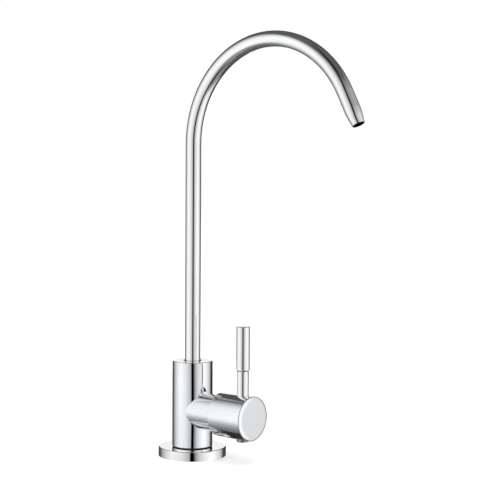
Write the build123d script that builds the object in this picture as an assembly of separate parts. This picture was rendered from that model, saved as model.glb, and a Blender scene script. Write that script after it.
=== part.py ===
"""Drinking water filter tap: a gooseneck spout on a round body, with a side lever.

The tap stands on a worktop. Its front is +X, up is +Z, and the origin is the centre
of the flange's underside, which rests on the worktop. The spout swivels about Z. The
lever turns a ceramic disc valve about an axis that runs along +X through the body.
All lengths are millimetres and all angles are degrees.
"""

import os
from math import cos, pi, radians, sin

from build123d import *

# Clearances between pieces, and the overrun of a cut past a face
overrun = 1.0
running_gap = 0.05
thread_gap = 0.04
seat_gap = 0.05
free_gap = 0.3

# Worktop that the tap is clamped to
worktop_thickness = 20.0

# Flange under the body, and its gasket
flange_diameter = 43.5
flange_thickness = 6.0
flange_edge_round = 0.7
gasket_outer_diameter = 36.6
gasket_width = 6.1
gasket_thickness = 2.2
base_seal_setback = 0.3
base_seal_thickness = 0.7

# Round body with the side stub that holds the valve
body_diameter = 26.0
body_top = 61.4
body_edge_round = 0.5
valve_height = 29.6
stub_diameter = 24.0
stub_end = 24.5
stub_edge_round = 0.3

# Water passages inside the body
passage_diameter = 4.2
inlet_offset = 2.2
outlet_offset = 2.9
seat_bore_diameter = 6.0

# Threaded shank, 12 mm thread, whose inlet end has a 7/16 inch thread and a tube socket
shank_diameter = 12.0
shank_length_below = 40.0
inlet_rise = 3.1
shank_bore_diameter = 5.0
shank_end_chamfer = 0.6
shank_hole_gap = 0.3
inlet_diameter = 11.11
inlet_length = 13.0
shank_seal_thickness = 1.2
shank_seal_bore = 7.0
tube_socket_diameter = 6.5
tube_socket_depth = 15.0
tube_socket_flare = 0.6

# Fixings under the worktop
washer_diameter = 32.0
rubber_washer_thickness = 3.0
backing_washer_thickness = 1.5
lock_washer_width = 3.0
lock_washer_thickness = 1.8
lock_washer_split = 1.6
nut_wall = 3.0
nut_height = 7.0
nut_chamfer = 0.8

# Spout: a tube bent over an arc, with a straight tip that narrows to the outlet
tube_diameter = 10.0
tube_wall = 1.0
riser_top = 200.3
arc_radius = 63.0
arc_angle = 152.5
tip_straight = 11.2
tip_taper = 10.0
tip_blend = 5.0
outlet_diameter = 7.6
outlet_wall = 0.7

# Spigot soldered in the spout's foot, with its two seals and its snap ring
outlet_rise = 2.5
spigot_foot_gap = 0.5
spigot_neck_length = 6.0
spigot_bore_diameter = 5.2
spigot_land = 1.5
spigot_lead = 0.5
o_ring_cord = 1.6
o_ring_groove_width = 2.1
snap_groove_width = 1.3
snap_ring_thickness = 1.1
snap_groove_depth = 0.9
snap_ring_reach = 0.6
snap_ring_gap_angle = 60.0

# Guide bush round the spout at the top of the body
bush_wall = 0.9
bush_height = 2.6
bush_recess = 0.4

# Valve seat, its seal and the two ceramic discs, stacked outwards from the seat
valve_seat = 2.5
seat_seal_thickness = 2.4
seat_seal_wall = 2.0
disc_diameter = 12.0
disc_thickness = 2.6
disc_film = 0.05
port_inner_diameter = 3.4
port_outer_diameter = 9.2
port_angle = 78.0
port_count = 2
drive_slot_depth = 1.1
drive_slot_width = 2.6

# Headwork that screws in the stub and carries the spindle
nose_wall = 1.15
flow_gap = 1.2
nose_depth = 3.6
window_length = 3.2
window_width = 7.0
headwork_shoulder = 14.2
headwork_thread_diameter = 17.4
headwork_flange_diameter = 21.0
headwork_flange_thickness = 1.2
headwork_hex_flats = 17.0
headwork_hex_length = 4.4
headwork_hex_edge = 0.5
headwork_neck_diameter = 12.4
headwork_neck_end = 33.0
mouth_seal_cord = 1.3

# Spindle, with its seals, its quarter turn stop and its clip
spindle_diameter = 7.0
spindle_flange_diameter = 11.2
spindle_flange_thickness = 1.8
spindle_seal_cord = 1.3
spindle_seal_pitch = 3.6
spindle_seal_setback = 3.4
spindle_end = 46.0
spline_teeth = 20
spline_depth = 0.45
handle_travel = 90.0
stop_margin = 3.0
stop_lug_angle = 126.0
stop_ring_thickness = 1.5
stop_ring_wall = 1.3
stop_wall_height = 2.0
stop_lug_start = 27.0
clip_thickness = 0.8
clip_groove_depth = 0.7
clip_reach = 1.2
clip_gap_angle = 50.0

# Handle cap that turns with the lever
cap_diameter = 28.0
cap_back = 25.0
cap_front = 51.5
cap_wall = 1.9
cap_cavity_depth = 11.8
cap_shoulder_width = 3.0
cap_shoulder_depth = 1.1
cap_back_round = 0.4

# Lever rod with its grip, and the clamping screw on the opposite side of the cap
lever_position = 42.5
rod_diameter = 7.5
rod_seat_depth = 0.7
rod_stud_diameter = 5.0
rod_stud_length = 7.0
rod_length = 16.3
rod_groove_width = 0.4
rod_groove_depth = 0.6
grip_diameter = 8.6
grip_length = 27.6
grip_edge = 0.35
grip_bore_depth = 20.5
grip_pin_diameter = 5.0
screw_head_diameter = 7.6
screw_head_height = 2.2
screw_proud = 1.3
screw_thread_diameter = 4.0
screw_socket_flats = 3.0
screw_socket_depth = 1.5
screw_edge = 0.3

# Radii and levels that follow from the sizes above
gasket_outer = gasket_outer_diameter / 2
gasket_inner = gasket_outer - gasket_width
body_radius = body_diameter / 2
body_bottom = flange_thickness + base_seal_thickness
base_seal_outer = body_radius - base_seal_setback
shank_radius = shank_diameter / 2
tube_radius = tube_diameter / 2
tube_bore = tube_radius - tube_wall
spout_bore = tube_radius + running_gap
nose_radius = disc_diameter / 2 + seat_gap + nose_wall
chamber_radius = nose_radius + flow_gap
socket_floor = valve_height - chamber_radius - inlet_rise
shank_top = socket_floor - shank_seal_thickness
spout_bore_floor = valve_height + chamber_radius + outlet_rise
spigot_bottom = spout_bore_floor + spigot_foot_gap
snap_groove_low = spigot_bottom + spigot_land
lower_groove_low = snap_groove_low + snap_groove_width + spigot_land
upper_groove_low = lower_groove_low + o_ring_groove_width + spigot_land
tube_foot = upper_groove_low + o_ring_groove_width + spigot_land
o_ring_centre = tube_radius - o_ring_cord / 2
snap_ring_outer = tube_radius + snap_ring_reach
snap_ring_inner = tube_radius - snap_groove_depth
bush_outer = spout_bore + bush_wall
bush_top = body_top - bush_recess
bush_bottom = bush_top - bush_height
fixed_disc_low = valve_seat + seat_seal_thickness
fixed_disc_high = fixed_disc_low + disc_thickness
moving_disc_low = fixed_disc_high + disc_film
moving_disc_high = moving_disc_low + disc_thickness
spindle_radius = spindle_diameter / 2
spindle_flange_high = headwork_shoulder + spindle_flange_thickness
outer_seal_place = headwork_neck_end - spindle_seal_setback
inner_seal_place = outer_seal_place - spindle_seal_pitch
stop_ring_low = headwork_neck_end + free_gap
stop_ring_high = stop_ring_low + stop_ring_thickness
clip_low = stop_ring_high + seat_gap
clip_high = clip_low + clip_thickness
clip_outer = spindle_radius + clip_reach
stop_ring_outer = spindle_radius + stop_ring_wall
cap_radius = cap_diameter / 2
cap_cavity_end = cap_back + cap_cavity_depth
cap_cavity_radius = cap_radius - cap_wall
rod_radius = rod_diameter / 2
rod_seat = valve_height + cap_radius - rod_seat_depth
rod_stud_bottom = rod_seat - rod_stud_length
grip_bottom = rod_seat + rod_length
grip_top = grip_bottom + grip_length
screw_bottom = valve_height - cap_radius - screw_proud
screw_seat = screw_bottom + screw_head_height
rubber_washer_low = -worktop_thickness - rubber_washer_thickness
backing_washer_low = rubber_washer_low - backing_washer_thickness
lock_washer_low = backing_washer_low - lock_washer_thickness
nut_low = lock_washer_low - nut_height
washer_bore = shank_radius + shank_hole_gap
lock_washer_outer = washer_bore + lock_washer_width
nut_across_flats = shank_diameter + 2 * nut_wall

# The valve's own axis: its local Z runs outwards along +X at the valve's height
valve_axis = Pos(0, 0, valve_height) * Rot(0, 90, 0)


def rod(radius, low, high):
    """Round bar on the Z axis, from low to high."""
    return Pos(0, 0, low) * Cylinder(radius, high - low, align=(Align.CENTER, Align.CENTER, Align.MIN))


def ring(outer, inner, low, high):
    """Flat ring on the Z axis, from low to high."""
    return rod(outer, low, high) - rod(inner, low - overrun, high + overrun)


def cone(low_radius, high_radius, low, high):
    """Frustum on the Z axis, from low to high."""
    centred = (Align.CENTER, Align.CENTER, Align.MIN)
    return Pos(0, 0, low) * Cone(low_radius, high_radius, high - low, align=centred)


def ring_sector(outer, inner, low, high, start, sweep_angle):
    """Part of a flat ring, from the start angle through the sweep angle."""
    corners = [(inner, 0, low), (outer, 0, low), (outer, 0, high), (inner, 0, high)]
    section = make_face(Polyline(*corners, close=True))
    return Rot(0, 0, start) * revolve(section, Axis.Z, sweep_angle)


def o_ring(centre_radius, cord, height):
    """Seal ring of round cord on the Z axis."""
    return Pos(0, 0, height) * Torus(centre_radius, cord / 2)


def seal_groove(outer, cord, width, middle):
    """Ring to cut from a bar of the outer radius, so that a seal ring lies flush in it."""
    return ring(outer + overrun, outer - cord, middle - width / 2, middle + width / 2)


def round_edges(shape, radius, level):
    """Round the outermost circular edge that lies at one level on the Z axis."""
    levels = shape.edges().filter_by(GeomType.CIRCLE).group_by(Axis.Z)
    nearest = min(levels, key=lambda edges: abs(edges[0].center().Z - level))
    return fillet(max(nearest, key=lambda edge: edge.radius), radius)


def hex_bar(across_flats, low, high):
    """Hexagonal bar on the Z axis."""
    section = RegularPolygon(across_flats / 2, 6, major_radius=False)
    return Pos(0, 0, low) * extrude(section, high - low)


def chamfered_hex(across_flats, low, high, edge):
    """Hexagonal bar whose corners are turned off at both ends, as a nut's are."""
    corner = across_flats / 2 / cos(pi / 6)
    blank = chamfer(rod(corner, low, high).edges().filter_by(GeomType.CIRCLE), edge)
    return hex_bar(across_flats, low, high) & blank


def spline_bar(outer, low, high):
    """Toothed bar on the Z axis, as the spindle's broached end."""
    points = []
    for tooth in range(2 * spline_teeth):
        angle = pi * tooth / spline_teeth
        reach = outer - spline_depth * (tooth % 2)
        points.append((reach * cos(angle), reach * sin(angle)))
    section = make_face(Polyline(*points, close=True))
    return Pos(0, 0, low) * extrude(section, high - low)


def disc_ports(low, high, start):
    """The sector openings of a ceramic disc."""
    openings = []
    for port in range(port_count):
        angle = start + 360 * port / port_count
        openings.append(
            ring_sector(port_outer_diameter / 2, port_inner_diameter / 2, low, high, angle, port_angle)
        )
    return openings


def make_base_flange():
    """Disc that spreads the tap's load, with a recess for its gasket."""
    disc = rod(flange_diameter / 2, 0, flange_thickness)
    disc = round_edges(disc, flange_edge_round, flange_thickness)
    recess = ring(gasket_outer + seat_gap, gasket_inner - seat_gap, -overrun, gasket_thickness)
    return disc - recess - rod(washer_bore, -overrun, flange_thickness + overrun)


def make_tap_body():
    """Body with the valve stub, cut by its sockets, chamber, passages and bores."""
    barrel = round_edges(rod(body_radius, body_bottom, body_top), body_edge_round, body_top)
    stub = valve_axis * round_edges(rod(stub_diameter / 2, 0, stub_end), stub_edge_round, stub_end)
    body = barrel + stub

    # Socket for the shank and its seal
    body -= rod(shank_radius + thread_gap, body_bottom - overrun, socket_floor)

    # Inlet: up from the socket, then along the valve's axis to the seat
    passage = passage_diameter / 2
    body -= Pos(-inlet_offset, 0, 0) * rod(passage, socket_floor - overrun, valve_height)
    body -= valve_axis * rod(seat_bore_diameter / 2, -inlet_offset - passage, valve_seat + overrun)

    # Valve chamber, thread and the recess for the mouth seal
    thread_start = headwork_shoulder - free_gap
    body -= valve_axis * rod(chamber_radius, valve_seat, stub_end + overrun)
    body -= valve_axis * rod(headwork_thread_diameter / 2 + thread_gap, thread_start, stub_end + overrun)
    mouth_radius = headwork_thread_diameter / 2 + mouth_seal_cord
    body -= valve_axis * rod(mouth_radius, stub_end - mouth_seal_cord, stub_end + overrun)

    # Outlet up to the spout's bore, the groove for its snap ring and the bush seat
    chamber_top = valve_height + chamber_radius
    body -= Pos(outlet_offset, 0, 0) * rod(passage, chamber_top - overrun, spout_bore_floor + overrun)
    body -= rod(spout_bore, spout_bore_floor, body_top + overrun)
    groove_low = snap_groove_low - free_gap / 2
    groove_high = snap_groove_low + snap_groove_width + free_gap / 2
    body -= rod(snap_ring_outer + free_gap, groove_low, groove_high)
    body -= rod(bush_outer + seat_gap, bush_bottom, body_top + overrun)
    return body


def make_shank():
    """Hollow threaded shank, whose lower end takes the supply tube and its nut."""
    inlet_low = -shank_length_below - inlet_length
    socket_end = inlet_low + tube_socket_depth
    socket_radius = tube_socket_diameter / 2
    upper = rod(shank_radius, -shank_length_below, shank_top)
    upper = chamfer(upper.edges().filter_by(GeomType.CIRCLE), shank_end_chamfer)
    inlet = rod(inlet_diameter / 2, inlet_low, overrun - shank_length_below)
    inlet = chamfer(inlet.edges().filter_by(GeomType.CIRCLE).sort_by(Axis.Z)[0], shank_end_chamfer)
    bar = upper + inlet
    bar -= rod(shank_bore_diameter / 2, socket_end - overrun, shank_top + overrun)
    bar -= rod(socket_radius, inlet_low - overrun, socket_end)
    flare_end = inlet_low + tube_socket_flare
    return bar - cone(socket_radius + tube_socket_flare, socket_radius, inlet_low, flare_end)


def make_lock_washer():
    """Split spring washer."""
    washer = ring(lock_washer_outer, washer_bore, lock_washer_low, backing_washer_low)
    middle = (lock_washer_low + backing_washer_low) / 2
    split = Box(2 * lock_washer_outer, lock_washer_split, lock_washer_thickness + 2 * overrun)
    return washer - Pos(lock_washer_outer, 0, middle) * split


def make_mounting_nut():
    """Hexagon nut that clamps the tap from under the worktop."""
    nut = chamfered_hex(nut_across_flats, nut_low, lock_washer_low, nut_chamfer)
    return nut - rod(shank_radius + thread_gap, nut_low - overrun, lock_washer_low + overrun)


def make_headwork():
    """Brass headwork: nose round the discs, thread, flange, hexagon, neck and stop wall."""
    thread_radius = headwork_thread_diameter / 2
    flange_high = stub_end + headwork_flange_thickness
    hex_high = flange_high + headwork_hex_length
    neck_radius = headwork_neck_diameter / 2
    shell = rod(nose_radius, nose_depth, headwork_shoulder + free_gap)
    shell += rod(thread_radius, headwork_shoulder, stub_end)
    shell += rod(headwork_flange_diameter / 2, stub_end, flange_high)
    shell += chamfered_hex(headwork_hex_flats, flange_high, hex_high, headwork_hex_edge)
    shell += rod(neck_radius, flange_high, headwork_neck_end)
    wall_sweep = 360 - handle_travel - stop_lug_angle - 2 * stop_margin
    wall_start = stop_lug_start + stop_lug_angle + handle_travel + stop_margin
    shell += ring_sector(
        neck_radius,
        stop_ring_outer + running_gap,
        headwork_neck_end - seat_gap,
        headwork_neck_end + stop_wall_height,
        wall_start,
        wall_sweep,
    )

    # Chamber for the discs and the spindle's flange, the spindle's bore and the side windows
    shell -= rod(disc_diameter / 2 + seat_gap, nose_depth - overrun, spindle_flange_high + seat_gap)
    shell -= rod(spindle_radius + running_gap, headwork_shoulder, headwork_neck_end + overrun)
    window = Box(
        2 * nose_radius + 2 * overrun,
        window_width,
        window_length,
        align=(Align.CENTER, Align.CENTER, Align.MIN),
    )
    return shell - Pos(0, 0, moving_disc_high) * window


def make_moving_disc():
    """Ceramic disc that the spindle turns, with a slot across its back for the spindle's tang."""
    disc = rod(disc_diameter / 2, moving_disc_low, moving_disc_high)
    closed_start = handle_travel - port_angle / 2
    for opening in disc_ports(moving_disc_low - overrun, moving_disc_high + overrun, closed_start):
        disc -= opening
    slot = Box(
        disc_diameter + overrun,
        drive_slot_width,
        drive_slot_depth + overrun,
        align=(Align.CENTER, Align.CENTER, Align.MIN),
    )
    return disc - Pos(0, 0, moving_disc_high - drive_slot_depth) * slot


def make_fixed_disc():
    """Ceramic disc held against the seat, with ports a quarter turn from the closed disc's."""
    disc = rod(disc_diameter / 2, fixed_disc_low, fixed_disc_high)
    for opening in disc_ports(fixed_disc_low - overrun, fixed_disc_high + overrun, -port_angle / 2):
        disc -= opening
    return disc


def make_spindle():
    """Spindle: tang, flange, sealed shaft, groove for the clip and splined end."""
    tang_low = moving_disc_high - drive_slot_depth + seat_gap
    tang = Box(
        disc_diameter - 2 * seat_gap,
        drive_slot_width - 2 * running_gap,
        headwork_shoulder - tang_low,
        align=(Align.CENTER, Align.CENTER, Align.MIN),
    )
    tang = Pos(0, 0, tang_low) * tang & rod(spindle_flange_diameter / 2, tang_low, headwork_shoulder)
    shaft = tang + rod(spindle_flange_diameter / 2, headwork_shoulder, spindle_flange_high)
    shaft += rod(spindle_radius, spindle_flange_high, clip_high + free_gap)
    shaft += spline_bar(spindle_radius, clip_high + free_gap, spindle_end)
    for place in (inner_seal_place, outer_seal_place):
        shaft -= seal_groove(spindle_radius, spindle_seal_cord, spindle_seal_cord + free_gap, place)
    floor = spindle_radius - clip_groove_depth
    return shaft - ring(spindle_radius + overrun, floor, clip_low - running_gap, clip_high + running_gap)


def make_stop_ring():
    """Ring keyed to the spindle, with the lug that meets the headwork's stop wall."""
    collar = ring(stop_ring_outer, spindle_radius + seat_gap, stop_ring_low, stop_ring_high)
    lug = ring_sector(
        headwork_neck_diameter / 2,
        stop_ring_outer - seat_gap,
        stop_ring_low,
        stop_ring_high,
        stop_lug_start,
        stop_lug_angle,
    )
    return collar + lug


def cap_blank():
    """Solid cap whose flat front rolls over into its side by a quarter of an ellipse."""
    flat = cap_radius - cap_shoulder_width
    shoulder_low = cap_front - cap_shoulder_depth
    centre = (flat, shoulder_low)
    shoulder = EllipticalCenterArc(centre, cap_shoulder_width, cap_shoulder_depth, arc_size=90)
    middle = [(flat, cap_front), (0, cap_front), (0, cap_back)]
    rest = Polyline(*middle, (cap_radius, cap_back), (cap_radius, shoulder_low))
    section = Plane.XZ * make_face([shoulder.edge(), *rest.edges()])
    return round_edges(revolve(section, Axis.Z), cap_back_round, cap_back)


def make_handle_cap():
    """Cap on the spindle: an open back round the headwork, a splined hub and two radial seats."""
    cap = cap_blank()
    cap -= rod(cap_cavity_radius, cap_back - overrun, cap_cavity_end)
    cap -= spline_bar(spindle_radius + seat_gap, cap_cavity_end - overrun, spindle_end + free_gap)

    # Seats of the lever's rod above and of the screw below, in line through the spindle's bore
    seats = rod(rod_radius + seat_gap, rod_seat, rod_seat + cap_radius)
    seats += rod(rod_stud_diameter / 2 + thread_gap, rod_stud_bottom - free_gap, rod_seat + overrun)
    seats += rod(screw_head_diameter / 2 + seat_gap, screw_bottom, screw_seat)
    seats += rod(screw_thread_diameter / 2 + thread_gap, screw_seat, valve_height)
    return valve_axis * cap - Pos(lever_position, 0, 0) * seats


def make_handle_screw():
    """Socket head screw that clamps the cap on the spindle, its head just proud of the cap."""
    head = rod(screw_head_diameter / 2, screw_bottom, screw_seat)
    head = round_edges(head, screw_edge, screw_bottom)
    tip = valve_height - spindle_radius - seat_gap
    screw = head + rod(screw_thread_diameter / 2, screw_seat, tip)
    screw -= hex_bar(screw_socket_flats, screw_bottom - overrun, screw_bottom + screw_socket_depth)
    return Pos(lever_position, 0, 0) * screw


def make_lever_rod():
    """Rod that stands in the cap: stud below, and above a fine groove and a pin for the grip."""
    pin_top = grip_bottom + grip_bore_depth - free_gap
    bar = rod(rod_radius, rod_seat, grip_bottom)
    bar += rod(rod_stud_diameter / 2, rod_stud_bottom, rod_seat)
    bar += rod(grip_pin_diameter / 2, grip_bottom, pin_top)
    groove_low = grip_bottom - rod_groove_width
    bar -= ring(rod_radius + overrun, rod_radius - rod_groove_depth, groove_low, grip_bottom)
    return Pos(lever_position, 0, 0) * bar


def make_lever_grip():
    """Sleeve that the fingers hold, closed at its top and seated on the rod's shoulder."""
    sleeve = rod(grip_diameter / 2, grip_bottom, grip_top)
    sleeve = chamfer(sleeve.edges().filter_by(GeomType.CIRCLE), grip_edge)
    bore = rod(grip_pin_diameter / 2 + seat_gap, grip_bottom - overrun, grip_bottom + grip_bore_depth)
    return Pos(lever_position, 0, 0) * (sleeve - bore)


def arc_point(angle):
    """Point on the spout's arc, by the angle turned since the top of the riser."""
    turned = radians(angle)
    return Vector(arc_radius * (1 - cos(turned)), 0, riser_top + arc_radius * sin(turned))


def spout_path():
    """Centre line of the spout: riser, arc and straight tip, in the XZ plane."""
    riser = Line((0, 0, tube_foot), (0, 0, riser_top))
    arc = ThreePointArc(arc_point(0), arc_point(arc_angle / 2), arc_point(arc_angle))
    tip = Line(arc @ 1, arc @ 1 + (arc % 1) * tip_straight)
    return riser, arc, tip


def narrowing_bar(start_radius, end_radius):
    """Bar on the Z axis that narrows gently at first and then along a straight cone."""
    slope = (start_radius - end_radius) / (tip_taper - tip_blend / 2)
    middle = start_radius - slope * tip_blend / 2
    blend = Spline((start_radius, 0), (middle, tip_blend), tangents=[(0, 1), (-slope, 1)])
    rest = Polyline((middle, tip_blend), (end_radius, tip_taper), (0, tip_taper), (0, 0), (start_radius, 0))
    return revolve(Plane.XZ * make_face([blend.edge(), *rest.edges()]), Axis.Z)


def make_spout_tube():
    """Bent tube with an even wall, drawn down to a narrower outlet at its tip."""
    riser, arc, tip = spout_path()
    path = Wire([*riser.edges(), *arc.edges(), *tip.edges()])
    start = Plane(origin=riser @ 0, z_dir=riser % 0)
    outside = sweep(start * Circle(tube_radius), path)
    inside = sweep(start * Circle(tube_bore), path)
    end = Plane(origin=tip @ 1, x_dir=(0, 1, 0), z_dir=tip % 1)
    outside += end * narrowing_bar(tube_radius, outlet_diameter / 2)
    inside += end * narrowing_bar(tube_bore, outlet_diameter / 2 - outlet_wall)
    return outside - inside


def make_spout_spigot():
    """Brass end piece: a neck soldered in the tube, and grooves for the seals and snap ring."""
    neck_top = tube_foot + spigot_neck_length
    foot = rod(tube_radius, spigot_bottom, tube_foot)
    foot = chamfer(foot.edges().filter_by(GeomType.CIRCLE).sort_by(Axis.Z)[0], spigot_lead)
    spigot = foot + rod(tube_bore - seat_gap, tube_foot, neck_top)
    spigot -= rod(spigot_bore_diameter / 2, spigot_bottom - overrun, neck_top + overrun)
    for groove_low in (lower_groove_low, upper_groove_low):
        middle = groove_low + o_ring_groove_width / 2
        spigot -= seal_groove(tube_radius, o_ring_cord, o_ring_groove_width, middle)
    snap_high = snap_groove_low + snap_groove_width
    return spigot - ring(tube_radius + overrun, snap_ring_inner, snap_groove_low, snap_high)


def make_snap_ring():
    """Open ring that holds the spigot in the body's groove."""
    low = snap_groove_low + (snap_groove_width - snap_ring_thickness) / 2
    high = low + snap_ring_thickness
    inner = snap_ring_inner + seat_gap
    turn = 360 - snap_ring_gap_angle
    return ring_sector(snap_ring_outer, inner, low, high, snap_ring_gap_angle / 2, turn)


def make_parts():
    """All pieces of the tap, by the name of their node."""
    mouth_seal_centre = (headwork_thread_diameter + mouth_seal_cord) / 2
    mouth_seal = o_ring(mouth_seal_centre, mouth_seal_cord, stub_end - mouth_seal_cord / 2)
    spindle_seal_centre = spindle_radius - spindle_seal_cord / 2
    inner_seal = o_ring(spindle_seal_centre, spindle_seal_cord, inner_seal_place)
    outer_seal = o_ring(spindle_seal_centre, spindle_seal_cord, outer_seal_place)
    spout_groove_middle = o_ring_groove_width / 2
    clip = ring_sector(
        clip_outer,
        spindle_radius - clip_groove_depth + running_gap,
        clip_low,
        clip_high,
        clip_gap_angle / 2,
        360 - clip_gap_angle,
    )
    seat_bore = seat_bore_diameter / 2
    seat_seal = ring(seat_bore + seat_seal_wall, seat_bore, valve_seat, fixed_disc_low)
    return {
        "base_flange": make_base_flange(),
        "deck_gasket": ring(gasket_outer, gasket_inner, 0, gasket_thickness),
        "base_seal": ring(base_seal_outer, washer_bore, flange_thickness, body_bottom),
        "tap_body": make_tap_body(),
        "shank": make_shank(),
        "shank_seal": ring(shank_radius - thread_gap, shank_seal_bore / 2, shank_top, socket_floor),
        "rubber_washer": ring(washer_diameter / 2, washer_bore, rubber_washer_low, -worktop_thickness),
        "backing_washer": ring(washer_diameter / 2, washer_bore, backing_washer_low, rubber_washer_low),
        "lock_washer": make_lock_washer(),
        "mounting_nut": make_mounting_nut(),
        "headwork_body": valve_axis * make_headwork(),
        "headwork_seal": valve_axis * mouth_seal,
        "seat_seal": valve_axis * seat_seal,
        "fixed_disc": valve_axis * make_fixed_disc(),
        "moving_disc": valve_axis * make_moving_disc(),
        "valve_spindle": valve_axis * make_spindle(),
        "spindle_seal_inner": valve_axis * inner_seal,
        "spindle_seal_outer": valve_axis * outer_seal,
        "stop_ring": valve_axis * make_stop_ring(),
        "spindle_clip": valve_axis * clip,
        "handle_cap": make_handle_cap(),
        "handle_screw": make_handle_screw(),
        "lever_rod": make_lever_rod(),
        "lever_grip": make_lever_grip(),
        "spout_tube": make_spout_tube(),
        "spout_spigot": make_spout_spigot(),
        "spout_seal_lower": o_ring(o_ring_centre, o_ring_cord, lower_groove_low + spout_groove_middle),
        "spout_seal_upper": o_ring(o_ring_centre, o_ring_cord, upper_groove_low + spout_groove_middle),
        "spout_snap_ring": make_snap_ring(),
        "spout_bush": ring(bush_outer, spout_bore + running_gap, bush_bottom, bush_top),
    }


os.makedirs("parts", exist_ok=True)
for name, solid in make_parts().items():
    export_step(solid, os.path.join("parts", name + ".step"))
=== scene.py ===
"""Looks of the drinking water tap: finishes, threads, studio and camera.

Every length here is in metres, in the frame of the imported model: the tap stands on
the floor at Z 0, its spout reaches along +X and its lever stands upright.
"""

import logging
import math
from dataclasses import dataclass
from enum import Enum
from typing import Any, Callable, Sequence

import bmesh
import bpy
from mathutils import Matrix, Vector


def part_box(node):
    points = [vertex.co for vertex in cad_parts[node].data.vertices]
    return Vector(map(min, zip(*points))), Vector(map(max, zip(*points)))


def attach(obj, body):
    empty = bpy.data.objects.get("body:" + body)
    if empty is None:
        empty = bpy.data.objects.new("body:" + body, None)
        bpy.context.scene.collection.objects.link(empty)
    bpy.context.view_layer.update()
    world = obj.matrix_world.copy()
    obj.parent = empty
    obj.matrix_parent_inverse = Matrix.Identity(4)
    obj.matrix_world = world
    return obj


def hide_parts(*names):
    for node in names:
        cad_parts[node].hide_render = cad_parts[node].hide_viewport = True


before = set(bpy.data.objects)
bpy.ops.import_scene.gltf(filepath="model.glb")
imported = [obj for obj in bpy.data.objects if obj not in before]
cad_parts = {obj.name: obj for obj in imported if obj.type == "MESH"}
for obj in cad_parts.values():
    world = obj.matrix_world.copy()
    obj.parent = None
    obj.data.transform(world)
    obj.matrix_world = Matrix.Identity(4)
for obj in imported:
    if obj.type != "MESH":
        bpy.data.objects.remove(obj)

MM = 0.001
INCH = 25.4 * MM
QUARTER_TURN = math.radians(90)

# Part of a noise's range that most of its values lie in
NOISE_LOW, NOISE_HIGH = 0.3, 0.7

# The sRGB curve: a straight toe, and a power above it
SRGB_TOE_END, SRGB_TOE_SLOPE = 0.04045, 12.92
SRGB_OFFSET, SRGB_POWER = 0.055, 2.4

# How near each other points are merged, and how near to a ring an edge counts as its own
MERGE_DISTANCE = 0.001 * MM
CHOICE_DISTANCE = 0.01 * MM

log = logging.getLogger("tap")

Stops = tuple[tuple[float, float], ...]


class Axis(Enum):
    """Direction that a turned or bent piece's own axis takes."""

    UPRIGHT = "upright"
    ACROSS = "across"


def linear(hex_colour: str) -> tuple[float, float, float, float]:
    """Turn an sRGB hex colour into the linear colour that a shader takes.

    Args:
        hex_colour: Six hex digits with a leading hash.

    Returns:
        Linear red, green, blue and an alpha of 1.
    """
    channels = []
    for start in (1, 3, 5):
        value = int(hex_colour[start:start + 2], 16) / 255
        if value <= SRGB_TOE_END:
            channels.append(value / SRGB_TOE_SLOPE)
        else:
            channels.append(((value + SRGB_OFFSET) / (1 + SRGB_OFFSET)) ** SRGB_POWER)
    return (*channels, 1.0)


def new_material(name: str) -> tuple[bpy.types.Material, bpy.types.NodeTree]:
    """Add a material whose node tree is still empty.

    Args:
        name: The material's name.

    Returns:
        The material and its node tree.
    """
    material = bpy.data.materials.new(name)
    material.use_nodes = True
    material.node_tree.nodes.clear()
    return material, material.node_tree


def add_node(
    tree: bpy.types.NodeTree,
    kind: str,
    settings: dict[str | int, Any] | None = None,
    links: dict[str | int, Any] | None = None,
) -> bpy.types.Node:
    """Add one node, set it up and link its inputs.

    Args:
        tree: Node tree that takes the node.
        kind: Type name of the node, without its ShaderNode prefix.
        settings: Values for the node's properties, or for inputs by name or number.
        links: Output sockets that feed the node's inputs, by name or number.

    Returns:
        The new node.
    """
    node = tree.nodes.new("ShaderNode" + kind)
    for name, value in (settings or {}).items():
        if isinstance(name, str) and hasattr(node, name):
            setattr(node, name, value)
        else:
            node.inputs[name].default_value = value
    for name, source in (links or {}).items():
        tree.links.new(source, node.inputs[name])
    return node


def calculate(tree: bpy.types.NodeTree, operation: str, *terms: Any) -> Any:
    """Add one calculation.

    Args:
        tree: Node tree that takes the node.
        operation: Name of the calculation.
        terms: Its terms in order, each a float or an output socket.

    Returns:
        The result's output.
    """
    settings: dict[str | int, Any] = {"operation": operation}
    links: dict[str | int, Any] = {}
    for number, term in enumerate(terms):
        (settings if isinstance(term, float) else links)[number] = term
    return add_node(tree, "Math", settings, links).outputs[0]


def set_ramp(node: bpy.types.Node, stops: Sequence[tuple[float, Any]]) -> None:
    """Give a colour ramp its stops.

    Args:
        node: The colour ramp node.
        stops: Place from 0 to 1 and grey level or linear colour of each stop.
    """
    ramp = node.color_ramp
    ramp.interpolation = "LINEAR"
    while len(ramp.elements) > 1:
        ramp.elements.remove(ramp.elements[-1])
    for number, (place, value) in enumerate(stops):
        stop = ramp.elements[0] if number == 0 else ramp.elements.new(place)
        stop.position = place
        stop.color = value if isinstance(value, tuple) else (value, value, value, 1.0)


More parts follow.
